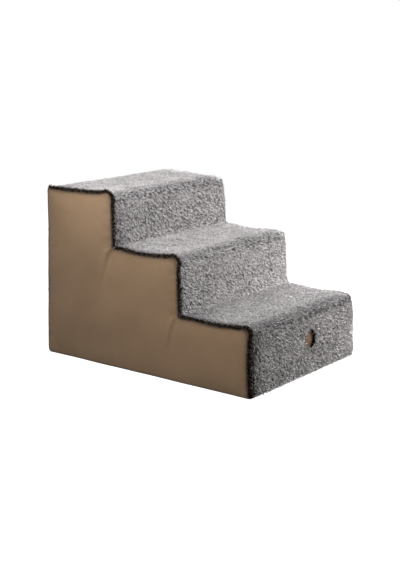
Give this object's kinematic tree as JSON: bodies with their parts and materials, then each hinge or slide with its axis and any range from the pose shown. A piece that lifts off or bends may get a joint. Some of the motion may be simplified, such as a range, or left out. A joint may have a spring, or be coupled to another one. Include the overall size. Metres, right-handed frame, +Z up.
{
  "type": "pet stairs",
  "caption": "Three-step foam pet stairs in a zip-off cover: plush treads and risers, smooth fabric sides, back and base, a round bare badge on the lowest riser.",
  "frame": {"origin": "centre of the footprint on the floor", "axes": "+Z up; +Y from the lowest step towards the back, the way a pet climbs; +X to the right of someone who stands in front of the steps"},
  "size_m": [0.43, 0.5967, 0.4],
  "materials": {
    "foam_firm": "open-cell foam",
    "foam_soft": "soft open-cell foam",
    "plush": "grey sherpa pile",
    "binding": "dark brushed pile edge",
    "side_fabric": "smooth taupe polyester",
    "base_fabric": "coarse nonwoven",
    "grip_rubber": "matt",
    "badge_felt": "felt",
    "badge_leather": "smooth",
    "thread": "sewing thread",
    "zip_tape": "woven tape",
    "zip_teeth": "moulded",
    "zip_metal": "satin",
    "label": "satin ribbon"
  },
  "bodies": {
    "stairs": {"foam_base_slab": "foam_firm", "foam_middle_slab": "foam_firm", "foam_top_slab": "foam_firm", "comfort_pad_low": "foam_soft", "comfort_pad_middle": "foam_soft", "comfort_pad_top": "foam_soft", "plush_panel_low": "plush", "plush_panel_middle": "plush", "plush_panel_top": "plush", "edge_binding_left": "binding", "edge_binding_right": "binding", "side_panel_left": "side_fabric", "side_panel_right": "side_fabric", "back_panel_upper": "side_fabric", "back_panel_lower": "side_fabric", "base_panel": "base_fabric", "grip_dots": "grip_rubber", "badge_felt": "badge_felt", "badge_leather": "badge_leather", "badge_stitches": "thread", "zip_tape_upper": "zip_tape", "zip_tape_lower": "zip_tape", "zip_teeth_upper": "zip_teeth", "zip_teeth_lower": "zip_teeth", "zip_top_stops": "zip_metal", "zip_bottom_stop": "zip_metal", "zip_end_tabs": "side_fabric", "care_label": "label"},
    "zip_slider": {"zip_slider": "zip_metal"},
    "zip_pull": {"zip_pull": "zip_metal"}
  },
  "joints": [
    {"name": "zip_slide", "type": "slide", "parent": "stairs", "child": "zip_slider", "axis": [-1, 0, 0], "range_m": [0, 0.3265]},
    {"name": "pull_swing", "type": "hinge", "parent": "zip_slider", "child": "zip_pull", "pos_m": [0.16325, 0.2967, 0.08005], "axis": [0, 0.035, -0.9994], "range_deg": [0, 175]}
  ]
}
